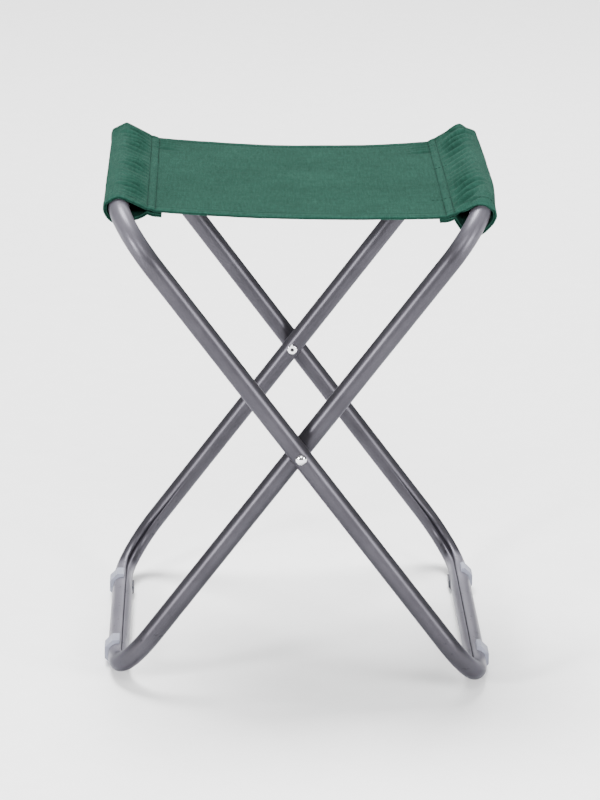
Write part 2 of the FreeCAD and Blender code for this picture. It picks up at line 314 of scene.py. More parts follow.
def steel_material(name, dark, light, rough):
    """Plated or bare steel with fine turning marks."""
    n = Nodes(name)
    place = n.position()
    stretched = n.noise(n.scaled(place, (900.0, 120.0, 900.0)), 1.0, 3.0, 0.65)
    broad = n.noise(place, 140.0, 2.0)
    colour = n.ramp(broad, (0.3, dark), (0.7, light))
    n.set(Base_Color=colour, Metallic=1.0, Roughness=n.math("MULTIPLY_ADD", stretched, 0.10, rough))
    n.bumps((stretched, 0.25, 0.00003))
    return n.owner


def washer_material():
    n = Nodes("washer_plastic")
    place = n.position()
    grain = n.noise(place, 1300.0, 2.0)
    broad = n.noise(place, 120.0, 2.0)
    colour = n.ramp(broad, (0.3, (0.012, 0.012, 0.013)), (0.7, (0.024, 0.024, 0.026)))
    n.set(Base_Color=colour, Roughness=n.math("MULTIPLY_ADD", grain, 0.2, 0.45))
    n.bumps((grain, 0.3, 0.00004))
    return n.owner


def set_material(obj, material):
    obj.data.materials.clear()
    obj.data.materials.append(material)


# -------- tubes

WALL = 1.2 * MM
HOLE_R = {OUTER: 2.53 * MM, INNER: 2.56 * MM}
HOLE_SIDES = 24
CREASE_DEPTH = 0.55 * MM
CREASE_WIDTH = 3.4                # degrees round the tube
CREASE_FADE = 60.0 * MM
CREASE_TURN = 14.0                # degrees round the tube, from the loop's plane towards the top
LIP_HEIGHT = 0.10 * MM            # raised edges beside the crease
PINCH_DEPTH = {FRONT: 0.8 * MM, REAR: 1.2 * MM}    # how much deeper the crease is in mid bend
PINCH_LENGTH = {FRONT: 16.0 * MM, REAR: 34.0 * MM}
PINCH_WIDTH = 8.0                 # and how many degrees wider
OVAL = 0.55 * MM                  # floor bar's growth in half width, and loss in half height
OVAL_FADE = (14.0 * MM, 1.0 * MM)          # before a foot, inside which the bar is round
RING_DEGREES = [2, 4, 6, 8, 11, 15, 20, 27, 35] + list(range(44, 179, 8))
RING = [math.radians(a) for a in [-d for d in RING_DEGREES[::-1]] + [0] + RING_DEGREES + [180]]
STRAIGHT_STEP = 4.0 * MM
BEND_STEPS = 30
BAR_GAP = 0.3 * MM                # half the gap where the seat bar's two ends meet


def loop_samples(side):
    """Stations along a loop's centreline: (down, y, inward direction, distance, where).

    A straight is given by its two ends, and a bend by its centre and the angle it starts at.
    """
    _, length = down_leg(side)
    legs = LEG_Y[side]
    turn = legs - BEND_R
    low = length - BEND_R
    runs = [
        ("bar", (0.0, BAR_GAP), (0.0, turn)),
        ("bend_top", (BEND_R, turn), 180.0),
        ("leg", (BEND_R, legs), (low, legs)),
        ("bend_low", (low, turn), 90.0),
        ("floor", (length, turn), (length, -turn)),
        ("bend_low", (low, -turn), 0.0),
        ("leg", (low, -legs), (BEND_R, -legs)),
        ("bend_top", (BEND_R, -turn), -90.0),
        ("bar", (0.0, -turn), (0.0, -BAR_GAP)),
    ]
    stations = []
    travelled = 0.0
    for kind, first, second in runs:
        if isinstance(second, tuple):
            a = Vector(first)
            step = Vector(second) - a
            count = max(1, round(step.length / STRAIGHT_STEP))
            inward = Vector((step.y, -step.x)).normalized()
            for i in range(count + 1):
                point = a + step * (i / count)
                stations.append((point.x, point.y, inward, travelled + step.length * i / count, kind))
            travelled += step.length
        else:
            for i in range(1, BEND_STEPS):
                part = i / BEND_STEPS
                at = math.radians(second - 90.0 * part)
                spoke = Vector((math.cos(at), math.sin(at)))
                point = Vector(first) + spoke * BEND_R
                distance = travelled + BEND_R * math.pi / 2 * part
                stations.append((point.x, point.y, -spoke, distance, kind))
            travelled += BEND_R * math.pi / 2
    return stations


def tube_walls(side, stations, foot_start):
    """Points of the outer wall, then of the inner, each as (point, uv, painted light share, crease
    share).
    """
    down, length = down_leg(side)
    across = Vector((0.0, 1.0, 0.0))
    plane_normal = down.cross(across)
    top = length - BEND_R - CREASE_FADE
    rear_bend = LEG_Y[side] - 3.0 * BEND_R + length + 0.75 * math.pi * BEND_R
    bends = {REAR: rear_bend, FRONT: stations[-1][3] - rear_bend}
    oval_from, oval_to = (foot_start - fade for fade in OVAL_FADE)
    found = []
    for inside in (False, True):
        for down_by, y, inward, travelled, kind in stations:
            centre = BAR[side] + down * down_by + across * y
            inward_3d = down * inward.x + across * inward.y
            crease = float(smooth(top, length - BEND_R, down_by)) if kind != "bar" else 0.0
            pinch = {end: float(bump(travelled, bends[end], PINCH_LENGTH[end])) for end in bends}
            deeper = sum(PINCH_DEPTH[end] * pinch[end] for end in bends)
            width = CREASE_WIDTH + PINCH_WIDTH * (pinch[FRONT] + pinch[REAR])
            oval = 0.0
            if kind == "floor":
                oval = OVAL * (1.0 - float(smooth(oval_from, oval_to, abs(y))))
            # Painted light: the floor bars, and the upper bends partly, are painted paler where they face
            # the overhead light.
            at_floor = smooth(length - 0.12 * BEND_R, length - 0.01 * BEND_R, down_by)
            at_top = 0.6 * smooth(0.95 * BEND_R, 0.20 * BEND_R, down_by)
            pale = float(max(at_floor, at_top))
            for angle in RING:
                degrees = math.degrees(angle)
                dent = crease * math.exp(-(degrees / width) ** 2)
                lips = crease * math.exp(-((abs(degrees) - 2.6 * width) / width) ** 2)
                turned = angle - side * math.radians(CREASE_TURN)
                arm = inward_3d * math.cos(turned) + plane_normal * math.sin(turned)
                radius = TUBE_R + oval * (arm.x ** 2 - arm.z ** 2) - deeper * dent
                radius += -WALL if inside else LIP_HEIGHT * lips - CREASE_DEPTH * dent
                uv = (travelled, angle / math.tau)
                found.append((centre + arm * radius, uv, pale, 0.0 if inside else dent))
    return found


def tube_faces(rings):
    """Faces of both walls, and the flat ends that join them."""
    around = len(RING)
    inner = rings * around
    faces = []
    for i in range(rings):
        for j in range(around):
            a = i * around + j
            b = i * around + (j + 1) % around
            if i < rings - 1:
                quad = (a, b, b + around, a + around)
                faces.append(quad)
                faces.append(tuple(k + inner for k in quad[::-1]))
            if i in (0, rings - 1):
                quad = (a, a + inner, b + inner, b)
                faces.append(quad if i == 0 else quad[::-1])
    return faces


def tube_mesh(side, name, body):
    """A loop's bent tube: both walls with the crease, the rivet holes and the paint's UVs."""
    stations = loop_samples(side)
    foot_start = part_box(name.split("_")[0] + "_rear_foot")[0][1]
    points, uvs, pale, crease = zip(*tube_walls(side, stations, foot_start))
    obj = new_object(name, points, tube_faces(len(stations)))
    mesh = obj.data
    along = mesh.uv_layers.new(name="along")
    for polygon in mesh.polygons:
        corners = [uvs[mesh.loops[k].vertex_index] for k in polygon.loop_indices]
        wraps = max(c[1] for c in corners) - min(c[1] for c in corners) > 0.5
        for k, (u, v) in zip(polygon.loop_indices, corners):
            along.data[k].uv = (u, v + 1.0 if wraps and v < 0.0 else v)
    for title, values in (("painted_light", pale), ("crease", crease)):
        mesh.attributes.new(title, "FLOAT", "POINT").data.foreach_set("value", values)
    drill(obj, side)
    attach(obj, body)
    return obj


def drill(obj, side):
    """Cuts the two rivet holes through both walls of each leg."""
    for end in (FRONT, REAR):
        rim = []
        for reach in (LEG_Y[side] - 2.0 * TUBE_R, LEG_Y[side] + 2.0 * TUBE_R):
            for k in range(HOLE_SIDES):
                turn = math.tau * k / HOLE_SIDES
                x = PIVOT.x + HOLE_R[side] * math.cos(turn)
                rim.append((x, end * reach, PIVOT.z + HOLE_R[side] * math.sin(turn)))
        faces = [tuple(range(HOLE_SIDES)), tuple(range(2 * HOLE_SIDES - 1, HOLE_SIDES - 1, -1))]
        for k in range(HOLE_SIDES):
            after = (k + 1) % HOLE_SIDES
            faces.append((k, HOLE_SIDES + k, HOLE_SIDES + after, after))
        if end == FRONT:
            faces = [face[::-1] for face in faces]
        cutter = new_object("drill_bit", rim, faces)
        cut = obj.modifiers.new("holes", "BOOLEAN")
        cut.operation = "DIFFERENCE"
        cut.solver = "EXACT"
        cut.object = cutter
        bake_modifiers(obj)
        spent = cutter.data
        bpy.data.objects.remove(cutter)
        bpy.data.meshes.remove(spent)


# -------- seat cloth

THICK = 0.66 * MM
CLEAR = 0.60 * MM                 # cloth to tube
HEM_CLEAR = 0.25 * MM             # and hem to tube
LAYER = 0.90 * MM                 # one layer of cloth to the next
FOLD = 0.74 * MM                  # the same inside a pressed hem, which has four layers
ROW_IN = {OUTER: 22.2 * MM, INNER: 23.8 * MM}      # seat-bar axis to a seam's outer row
DIP_IN = {OUTER: 25.8 * MM, INNER: 29.2 * MM}      # and to the foot of the slope up to the bar
DIP_DROP = {OUTER: 0.4 * MM, INNER: 3.2 * MM}      # that foot below the bar's axis
FRONT_DROP = {OUTER: 0.0 * MM, INNER: 1.6 * MM}    # and how much lower still at the front
ROW_GAP = 6.6 * MM                # between a seam's two rows
FLAP = 11.0 * MM                  # what is left of the cloth beyond the outer row
SAG = 4.0 * MM                    # the panel's, at mid span
HEM = 8.6 * MM                    # a hem's width
HEM_ROW = 7.6 * MM                # edge to the hem's stitches
HEM_ROWS = 9                      # main rows that the turned-under layer follows
HEM_DEPTH = 3.0 * FOLD            # the top layer's middle to the lowest layer's
FLAP_DEPTH = 6.2 * FOLD           # a flap's extra drop at its hems, clear of the folds above
CORNER = 1.6 * MM                 # rounding where the panel turns up to a bar
YARN = 0.52 * MM                  # one yarn of the weave to the next
LOOP_COLUMNS = 66                 # steps of a sleeve's section
CIRCLE_POINTS = 96
PANEL_STEP = 1.7 * MM
ROW_STEP = 1.6 * MM
DRAWN_IN = {FRONT: 3.4 * MM, REAR: 4.6 * MM}       # pull on the panel's edges at mid span

rng = random.Random(7)


def tube_at(side, y):
    """(drop down the leg, cosine of the tube's slope) of the seat bar's axis at y."""
    over = max(0.0, abs(y) - (LEG_Y[side] - BEND_R))
    over = min(over, 0.9 * BEND_R)
    rest = math.sqrt(BEND_R ** 2 - over ** 2)
    return BEND_R - rest, rest / BEND_R


def hull(points):
    """Convex hull, anticlockwise."""
    points = sorted(set(points))
    chains = []
    for run in (points, points[::-1]):
        chain = []
        for p in run:
            while len(chain) > 1:
                a, b = chain[-2], chain[-1]
                if (b[0] - a[0]) * (p[1] - a[1]) - (b[1] - a[1]) * (p[0] - a[0]) > 0:
                    break
                chain.pop()
            chain.append(p)
        chains.append(chain[:-1])
    return chains[0] + chains[1]


# How far the stiff cloth stands off the tube outboard: (inboard, up) in mm from the bar's axis.
OUTSIDE = {OUTER: [(-11.0, 3.6), (-11.2, -1.4)], INNER: [(-11.4, 4.0), (-12.0, -2.4)]}
# And the hem at a sleeve's ends.
RIM = {
    (OUTER, REAR): [(1.1, 12.6), (-10.1, 6.8), (-10.3, 3.6)],
    (INNER, REAR): [(3.6, 11.9), (-9.6, 6.8), (-10.3, 1.0), (-9.0, -5.0)],
    (OUTER, FRONT): [(0.4, 9.9), (-10.5, 4.6), (-10.5, 0.5), (-9.8, -5.0), (-7.8, -8.0)],
    (INNER, FRONT): [(5.8, 3.9), (-7.9, -1.0), (-8.6, -6.4), (-6.2, -11.0), (-0.6, -15.6)],
}
# Shares of the tube's drop that the cloth's crest follows: (inboard, up).
CREST_SHIFT = {FRONT: (0.55, -0.60), REAR: (0.42, -0.20)}
# How far the edges are set back over a bar and outboard of it, in mm.
SET_BACK = {(OUTER, FRONT): (0.5, 0.0), (OUTER, REAR): (0.5, 0.0),
            (INNER, FRONT): (2.5, -1.0), (INNER, REAR): (1.0, 0.0)}


def sleeve_section(side, y, room):
    """Taut loop of cloth round the tube at y, from the seam over the top and back to the seam.

    Gives points (inboard, up) from the seat bar's axis, evenly spaced, and the slope's rise per metre.
    """
    drop, slope = tube_at(side, y)
    down, _ = down_leg(side)
    inboard, below = abs(down.x), -down.z
    radius = TUBE_R + room
    end = FRONT if y < 0 else REAR
    shift = CREST_SHIFT[end]
    crest = (shift[0] * drop, shift[1] * drop)
    points = []
    for k in range(CIRCLE_POINTS):
        turn = math.tau * k / CIRCLE_POINTS
        along = drop + radius / slope * math.cos(turn)
        over = radius * math.sin(turn)
        points.append((inboard * along + below * over, -below * along + inboard * over))
        points.append((crest[0] + radius * math.cos(turn), crest[1] + radius * math.sin(turn)))
    at_end = float(smooth(34.0 * MM, 2.0 * MM, SLEEVE_HALF - abs(y)))
    tucked = float(smooth(78.0 * MM, 4.0 * MM, SLEEVE_HALF + y)) if side == INNER else 0.0
    targets = [(Vector((a * MM, b * MM - 0.4 * drop)), tucked) for a, b in OUTSIDE[side]]
    targets += [(Vector((a * MM, b * MM)), 1.0 - at_end) for a, b in RIM[side, end]]
    for target, share in targets:
        on_tube = Vector(crest) + (target - Vector(crest)).normalized() * radius * 0.98
        points.append(tuple(target.lerp(on_tube, share)))
    tip = dip(side, y)
    touch = hull_after(points, tip)[0]
    rise = (touch[1] - tip[1]) / (tip[0] - touch[0])
    row = (ROW_IN[side], tip[1] + rise * softly(DIP_IN[side] - ROW_IN[side]))
    ring = np.array([row] + hull_after(points, row) + [row])
    steps = np.hypot(*np.diff(ring, axis=0).T)
    run = np.concatenate([[0.0], np.cumsum(steps)])
    want = np.linspace(0.0, run[-1], LOOP_COLUMNS + 1)
    ring = soften(ring, run, want)
    return ring, rise


def dip(side, y):
    """Foot of the slope up to a bar, at y: (inboard, up) from the bar's axis."""
    return DIP_IN[side], -DIP_DROP[side] - FRONT_DROP[side] * float(smooth(0.0, -SLEEVE_HALF, y))


def hull_after(points, tip):
    """The hull of the points and a tip, anticlockwise from the tip, which is left out."""
    ring = hull(points + [tip])
    start = ring.index(tip)
    return ring[start + 1:] + ring[:start]


def soften(ring, run, want):
    """The ring at the wanted distances, its corners rounded as stiff cloth rounds them."""
    fine = np.linspace(0.0, run[-1], 6 * LOOP_COLUMNS + 1)
    dense = np.column_stack([np.interp(fine, run, ring[:, k]) for k in (0, 1)])
    for _ in range(16):
        dense[1:-1] = 0.25 * dense[:-2] + 0.5 * dense[1:-1] + 0.25 * dense[2:]
    return np.column_stack([np.interp(want, fine, dense[:, k]) for k in (0, 1)])


def softly(distance):
    """Distance past the foot of a slope, with the corner there rounded."""
    return 0.5 * (distance + np.sqrt(distance ** 2 + CORNER ** 2))


def edge_distances():
    """Distances from the middle of the cloth to its rows, from the front edge to the rear.

    The rows are close together near the edges, where the hem folds and is stitched.
    """
    near = [0.0, 0.5, 1.3, 2.6, 4.2, 5.8, 6.8, 7.6, 8.4, 9.4, 10.8]
    near = [d * MM for d in near]
    rest = 2.0 * (SLEEVE_HALF - near[-1])
    count = round(rest / ROW_STEP)
    inner = [-SLEEVE_HALF + near[-1] + rest * k / count for k in range(1, count)]
    front = [-SLEEVE_HALF + d for d in near]
    return np.array(front + inner + [-y for y in front[::-1]])


def make_columns():
    """For each column of the cloth: which part it is in, and where along that part.

    From the left end to the right: flap, sleeve (under, round, over), panel, sleeve, flap.
    """
    columns = []
    left, right = BAR[OUTER].x + ROW_IN[OUTER], BAR[INNER].x - ROW_IN[INNER]
    flap = [FLAP * (1.0 - k / 8) for k in range(8)]
    columns += [("flap", OUTER, f) for f in flap]
    columns += [("sleeve", OUTER, k) for k in range(LOOP_COLUMNS, 0, -1)]
    near = [ROW_GAP * share for share in (0.0, 0.08, 0.17, 0.31, 0.5, 0.69, 0.83, 0.92)]
    near += [ROW_GAP + d * MM for d in (0.0, 0.5, 1.1, 2.0, 3.4)]
    open_span = right - left - 2.0 * near[-1]
    count = round(open_span / PANEL_STEP)
    across = near + [near[-1] + open_span * k / count for k in range(1, count)]
    across += [right - left - d for d in near[::-1]]
    columns += [("panel", 0.0, left + d) for d in across]
    columns += [("sleeve", INNER, k) for k in range(1, LOOP_COLUMNS + 1)]
    columns += [("flap", INNER, f) for f in flap[::-1]]
    return columns


def panel_height(x, y, rises):
    """Height of the panel at (x, y), where `rises` are the slopes up to the two bars at that row."""
    left, right = BAR[OUTER].x + DIP_IN[OUTER], BAR[INNER].x - DIP_IN[INNER]
    share = (x - left) / (right - left)
    level = dip(OUTER, y)[1] * (1.0 - share) + dip(INNER, y)[1] * share
    between = min(max(share, 0.0), 1.0)
    climb = rises[OUTER] * softly(left - x) + rises[INNER] * softly(x - right)
    return BAR[INNER].z + level - SAG * 4.0 * between * (1.0 - between) + climb


def base_surface(columns, rows):
    """Points of the cloth's middle surface before wrinkles, shape (columns, rows, 3)."""
    base = np.zeros((len(columns), len(rows), 3))
    edge = SLEEVE_HALF - np.abs(rows)
    hem_share = 1.0 - smooth(HEM + 0.5 * MM, HEM + 6.0 * MM, edge)
    sections, rises = {}, []
    for j, y in enumerate(rows):
        rises.append({})
        room = 0.5 * THICK + CLEAR + (HEM_CLEAR - CLEAR + HEM_DEPTH) * hem_share[j]
        for side in (OUTER, INNER):
            sections[side, j], rises[j][side] = sleeve_section(side, y, room)
    for i, (part, side, where) in enumerate(columns):
        for j, y in enumerate(rows):
            under = -LAYER - FLAP_DEPTH * hem_share[j]
            if part == "panel":
                base[i, j] = (where, y, panel_height(where, y, rises[j]))
            elif part == "flap":
                x = BAR[side].x - side * (ROW_IN[side] + where)
                base[i, j] = (x, y, panel_height(x, y, rises[j]) + under)
            else:
                a, b = sections[side, j][where]
                share = float(smooth(0.72, 1.0, where / LOOP_COLUMNS))
                base[i, j] = (BAR[side].x - side * a, y, BAR[side].z + b + under * share)
    return base


def draw_in(columns, rows, base):
    """Moves the long edges: drawn in at mid span, and set back over the bars at the ends."""
    half = BAR[INNER].x - ROW_IN[INNER]
    for i, (part, side, where) in enumerate(columns):
        mid = 1.0 - np.clip(np.abs(base[i, :, 0]) / half, 0.0, 1.0) ** 2
        share = np.where(rows > 0, DRAWN_IN[REAR], DRAWN_IN[FRONT]) * mid
        if part == "sleeve":
            over_bar, outside = (bump(where / LOOP_COLUMNS, place, 0.16) for place in (0.36, 0.58))
            back = {end: SET_BACK[side, end][0] * over_bar + SET_BACK[side, end][1] * outside
                    for end in (FRONT, REAR)}
            share = share + np.where(rows > 0, back[REAR], back[FRONT]) * MM
        pull = share * smooth(0.35, 1.0, np.abs(rows) / SLEEVE_HALF)
        base[i, :, 1] = rows - np.sign(rows) * pull
    return base


def normals(grid):
    """Unit normals of a grid of points, on the cloth's outer side."""
    along = np.gradient(grid, axis=0)
    across = np.gradient(grid, axis=1)
    n = np.cross(along, across)
    return n / np.maximum(np.linalg.norm(n, axis=2, keepdims=True), 1e-12)


def ridges(side):
    """Wrinkles over the slope between a bar and its seam: (y, slant, length, height, width) in mm.

    On the inner loop's side they are deepest towards the cloth's edges; on the other they come
    in groups.
    """
    found = []
    y = -112.0
    while y < 114.0:
        if side == INNER:
            far = float(smooth(20.0, 62.0, abs(y - 4.0)) * smooth(118.0, 92.0, abs(y)))
            found.append((y, rng.uniform(13.0, 18.0), rng.uniform(21.0, 27.0),
                          rng.uniform(1.0, 1.5) + 2.0 * far, rng.uniform(3.2, 4.4)))
            y += rng.uniform(12.0, 19.0)
        else:
            group = float(max(bump(y, 78.0, 32.0), bump(y, 2.0, 20.0), bump(y, -72.0, 26.0)))
            found.append((y, rng.uniform(7.0, 11.0), rng.uniform(18.0, 24.0),
                          0.6 + rng.uniform(2.2, 2.9) * group, rng.uniform(2.6, 3.4)))
            y += rng.uniform(10.0, 14.0)
    return found


def gathers():
    """Short gathers inboard of a seam, near its rear end: (y, height) in mm."""
    return [(112.0 - 9.0 * k + rng.uniform(-1.0, 1.0), rng.uniform(1.3, 1.9)) for k in range(4)]


def add_ridges(height, shade, pattern, outboard, rows):
    """Adds the wrinkles over the slope to a column that lies `outboard` of its seam, with painted shade
    in their valleys.
    """
    for y, slant, length, tall, wide in pattern:
        t = outboard / (length * MM)
        if 0.0 <= t <= 1.25:
            body = math.sin(math.pi * min(t / 1.25, 1.0)) ** 1.2
            centre = (y + slant * (t - 0.5)) * MM
            valley = bump(rows, centre - 1.35 * wide * MM, 0.6 * wide * MM)
            height += tall * MM * body * (bump(rows, centre, wide * MM) - 0.65 * valley)
            shade += 0.16 * tall * body * valley


def add_gathers(height, shade, pattern, inboard, rows):
    """Adds the gathers to a column of the panel, with painted shade in their valleys."""
    t = (inboard - 2.0 * MM) / (24.0 * MM)
    if not 0.0 <= t <= 1.0:
        return
    body = math.sin(math.pi * t) ** 0.8 * (1.0 - 0.5 * t)
    for y, tall in pattern:
        valley = bump(rows, (y - 4.5 - 3.0 * t) * MM, 1.6 * MM)
        height += tall * MM * body * (bump(rows, (y - 3.0 * t) * MM, 2.0 * MM) - 0.4 * valley)
        shade += 0.25 * tall * body * valley


def add_seam(height, shade, rub, inboard, rows, phase):
    """Adds a seam's two sunk rows with painted shade along them, the puffed cloth between them and the
    draws inboard of them.
    """
    rowed = bump(inboard, 0.0, 0.75 * MM) + bump(inboard, ROW_GAP, 0.75 * MM)
    pucker = 0.75 + 0.25 * np.sin(rows / (3.2 * MM) * math.tau + 1.3 * phase)
    height -= 0.45 * MM * rowed * pucker
    near_front = 1.0 - smooth(30.0 * MM, 44.0 * MM, rows + SLEEVE_HALF)
    shade += rowed * (0.22 + 0.66 * near_front)
    inside = smooth(0.4 * MM, 2.0 * MM, inboard) * (
        1.0 - smooth(ROW_GAP - 2.0 * MM, ROW_GAP - 0.4 * MM, inboard))
    height += 0.38 * MM * inside * (1.0 + 0.25 * np.sin(rows / (5.3 * MM) + phase))
    rub += 0.35 * inside
    draws = np.sin(rows / (6.2 * MM) + 2.0 * np.sin(rows / (23.0 * MM)) + phase)
    past = math.exp(-max(0.0, inboard - ROW_GAP) / (9.0 * MM))
    height += 0.16 * MM * draws * past * smooth(ROW_GAP, ROW_GAP + 2.0 * MM, inboard)


def add_hem(height, shade, rub, edge):
    """Adds the hems' rolled edges and sunk rows, with painted shade along the rows, `edge` being each
    row's distance from its edge.
    """
    rolled = 1.0 - smooth(HEM_ROW - 1.2 * MM, HEM_ROW, edge)
    height += 0.40 * MM * rolled * smooth(0.0, 2.0 * MM, edge)
    at_row = bump(edge, HEM_ROW, 1.0 * MM)
    height -= 0.40 * MM * at_row
    shade += 0.45 * at_row
    rub += 0.8 * bump(edge, 0.0, 1.0 * MM) + 0.35 * bump(edge, 4.0 * MM, 2.4 * MM)


def wrinkle_height(columns, rows, base, outboard):
    """Height of all that is sewn or creased into the cloth, in metres along its outer side.

    Also gives the painted shade, of sunk rows, hem grooves and wrinkle valleys, and the rub, each 0 to 1.
    `outboard` is each column's distance from the outer row of its seam.
    """
    height, shade, rub = (np.zeros(base.shape[:2]) for _ in range(3))
    edge = SLEEVE_HALF - np.abs(rows)
    patterns = {side: ridges(side) for side in (OUTER, INNER)}
    gathered = {side: gathers() for side in (OUTER, INNER)}
    for i, (part, side, where) in enumerate(columns):
        h, dark, worn = height[i], shade[i], rub[i]       # added to in place
        if part == "sleeve" and where < 0.5 * LOOP_COLUMNS:
            add_ridges(h, dark, patterns[side], outboard[i], rows)
        if part == "panel":
            nearer = OUTER if where < 0 else INNER
            add_gathers(h, dark, gathered[nearer], -outboard[i], rows)
            add_seam(h, dark, worn, -outboard[i], rows, nearer)
        if part == "sleeve":
            # The seam's outer row on the sleeve: sunk, with painted shade along it.
            h -= 0.55 * MM * bump(outboard[i], 0.0, 1.2 * MM)
            dark += 0.5 * bump(outboard[i], 0.0, 0.8 * MM)
            crest = bump(where / LOOP_COLUMNS, 0.30, 0.10)
            worn += 0.55 * crest
            h += 0.10 * MM * np.sin(rows / (9.0 * MM) + 3.0 * side) * crest
        add_hem(h, dark, worn, edge)
        for j in range(len(rows)):
            p = Vector(base[i, j])
            h[j] += 0.30 * MM * noise.noise(p * 24.0)
            h[j] += 0.14 * MM * noise.noise(p * 90.0 + Vector((3.0, 1.0, 2.0)))
        if part == "sleeve":                     # no valley reaches the tube
            off_axis = np.hypot(base[i, :, 0] - BAR[side].x, base[i, :, 2] - BAR[side].z)
            gap = off_axis - TUBE_R - 0.5 * THICK
            height[i] = np.maximum(h, 0.2 * MM - np.maximum(gap, 0.2 * MM))
    return height, np.clip(shade, 0.0, 1.0), np.clip(rub, 0.0, 1.0)


class Cloth:
    """The seat cloth's middle surface as a grid, and what is needed to sew on it."""

    def __init__(self):
        self.columns = make_columns()
        self.rows = edge_distances()
        base = draw_in(self.columns, self.rows, base_surface(self.columns, self.rows))
        centre = len(self.rows) // 2
        steps = np.linalg.norm(np.diff(base[:, centre], axis=0), axis=1)
        self.run = np.concatenate([[0.0], np.cumsum(steps)])
        parts = [c[0] for c in self.columns]
        self.first = parts.index("panel")
        self.last = len(parts) - 1 - parts[::-1].index("panel")
        outboard = np.where(self.run < 0.5 * self.run[-1], self.run[self.first] - self.run,
                            self.run - self.run[self.last])
        height, self.shade, self.rub = wrinkle_height(self.columns, self.rows, base, outboard)
        self.grid = base + normals(base) * height[:, :, None]
        self.normal = normals(self.grid)

    def at(self, run, y):
        """Point and outer normal at a distance along the cloth and a nominal y."""
        i = float(np.interp(run, self.run, np.arange(len(self.run))))
        j = float(np.interp(y, self.rows, np.arange(len(self.rows))))
        i0, j0 = min(int(i), len(self.run) - 2), min(int(j), len(self.rows) - 2)
        a, b = i - i0, j - j0

        def blend(field):
            low = field[i0, j0] * (1 - b) + field[i0, j0 + 1] * b
            high = field[i0 + 1, j0] * (1 - b) + field[i0 + 1, j0 + 1] * b
            return Vector(low * (1 - a) + high * a)

        return blend(self.grid), blend(self.normal).normalized()

    def hem(self, end):
        """Lines of a hem's folded layers as (points, row they follow, painted shade), from the raw edge
        up.

        From the top layer the cloth goes round the edge, back in, out again and in once more.
        """
        count = self.grid.shape[1]
        near = list(range(count)) if end == FRONT else list(range(count - 1, -1, -1))
        grid = [self.grid[:, j] for j in near[:HEM_ROWS + 1]]
        up = [self.normal[:, j] for j in near[:HEM_ROWS + 1]]
        outward = grid[0] - grid[1]
        outward /= np.linalg.norm(outward, axis=1, keepdims=True)
        half = 0.5 * FOLD
        # The shades are painted shade: in the grooves between the folded noses and on the layers
        # underneath.
        turns = [math.radians(a) for a in (150, 120, 90, 60, 30)]
        lines = [(grid[k] - HEM_DEPTH * up[k], near[k], 0.5) for k in range(HEM_ROWS, 1, -1)]
        for a, shade in zip(turns, (0.6, 0.4, 0.2, 0.5, 1.0)):
            depth = 2.0 * FOLD + half * (1.0 - math.cos(a))
            lines.append((grid[1] + outward * half * math.sin(a) - depth * up[1], near[1], shade))
        lines += [(grid[k] - 2.0 * FOLD * up[k], near[k], 1.0) for k in (1, 2)]
        for a in turns[::-1]:
            depth = 2.0 * FOLD - half * (1.0 - math.cos(a))
            lines.append((grid[3] - outward * half * math.sin(a) - depth * up[3], near[3], 1.0))
        lines += [(grid[k] - FOLD * up[k], near[k], 1.0) for k in (2, 1)]
        for a, shade in zip(turns, (1.0, 0.8, 0.3, 0.0, 0.0)):
            depth = half * (1.0 - math.cos(a))
            lines.append((grid[0] + outward * half * math.sin(a) - depth * up[1], near[0], shade))
        return lines

    def build(self):
        """The sheet as an object, with both long edges folded under."""
        top = [(self.grid[:, j], j, 0.0) for j in range(self.grid.shape[1])]
        lines = self.hem(FRONT) + top + self.hem(REAR)[::-1]
        grid = np.stack([line for line, _, _ in lines], axis=1)
        sources = [source for _, source, _ in lines]
        folds = np.array([shade for _, _, shade in lines])
        total = grid.shape[1]
        faces = []
        for i in range(grid.shape[0] - 1):
            for j in range(total - 1):
                a = i * total + j
                faces.append((a, a + total, a + total + 1, a + 1))
        obj = new_object("seat_cloth", grid.reshape(-1, 3), faces)
        mesh = obj.data
        steps = np.linalg.norm(np.diff(grid[grid.shape[0] // 2], axis=0), axis=1)
        width = np.concatenate([[0.0], np.cumsum(steps)])
        layer = mesh.uv_layers.new(name="weave")
        owner = np.zeros(len(mesh.loops), dtype=np.int32)
        mesh.loops.foreach_get("vertex_index", owner)
        u = self.run[owner // total] / YARN
        v = width[owner % total] / YARN
        layer.data.foreach_set("uv", np.column_stack([u, v]).astype(np.float32).ravel())
        # The hem lines' painted shade, on grooves and under layers, outweighs the grid's and takes their
        # rub away.
        shade = np.maximum(self.shade[:, sources], folds)
        for title, field in (("painted_shade", shade), ("rub", self.rub[:, sources] * (1.0 - folds))):
            flat = field.astype(np.float32).ravel()
            mesh.attributes.new(title, "FLOAT", "POINT").data.foreach_set("value", flat)
        shell = obj.modifiers.new("thickness", "SOLIDIFY")
        shell.thickness = THICK
        shell.offset = 0.0
        bake_modifiers(obj)
        return obj


STITCH = 3.1 * MM
STITCH_RADIUS = 0.30 * MM
STITCH_SIDES = 6
# Rings of one stitch: share of its half length, lift in half millimetres, share of its radius.
STITCH_RINGS = [(-1.0, -0.42, 0.45), (-0.72, 0.02, 0.95), (-0.3, 0.26, 1.0),
                (0.3, 0.26, 1.0), (0.72, 0.02, 0.95), (1.0, -0.42, 0.45)]


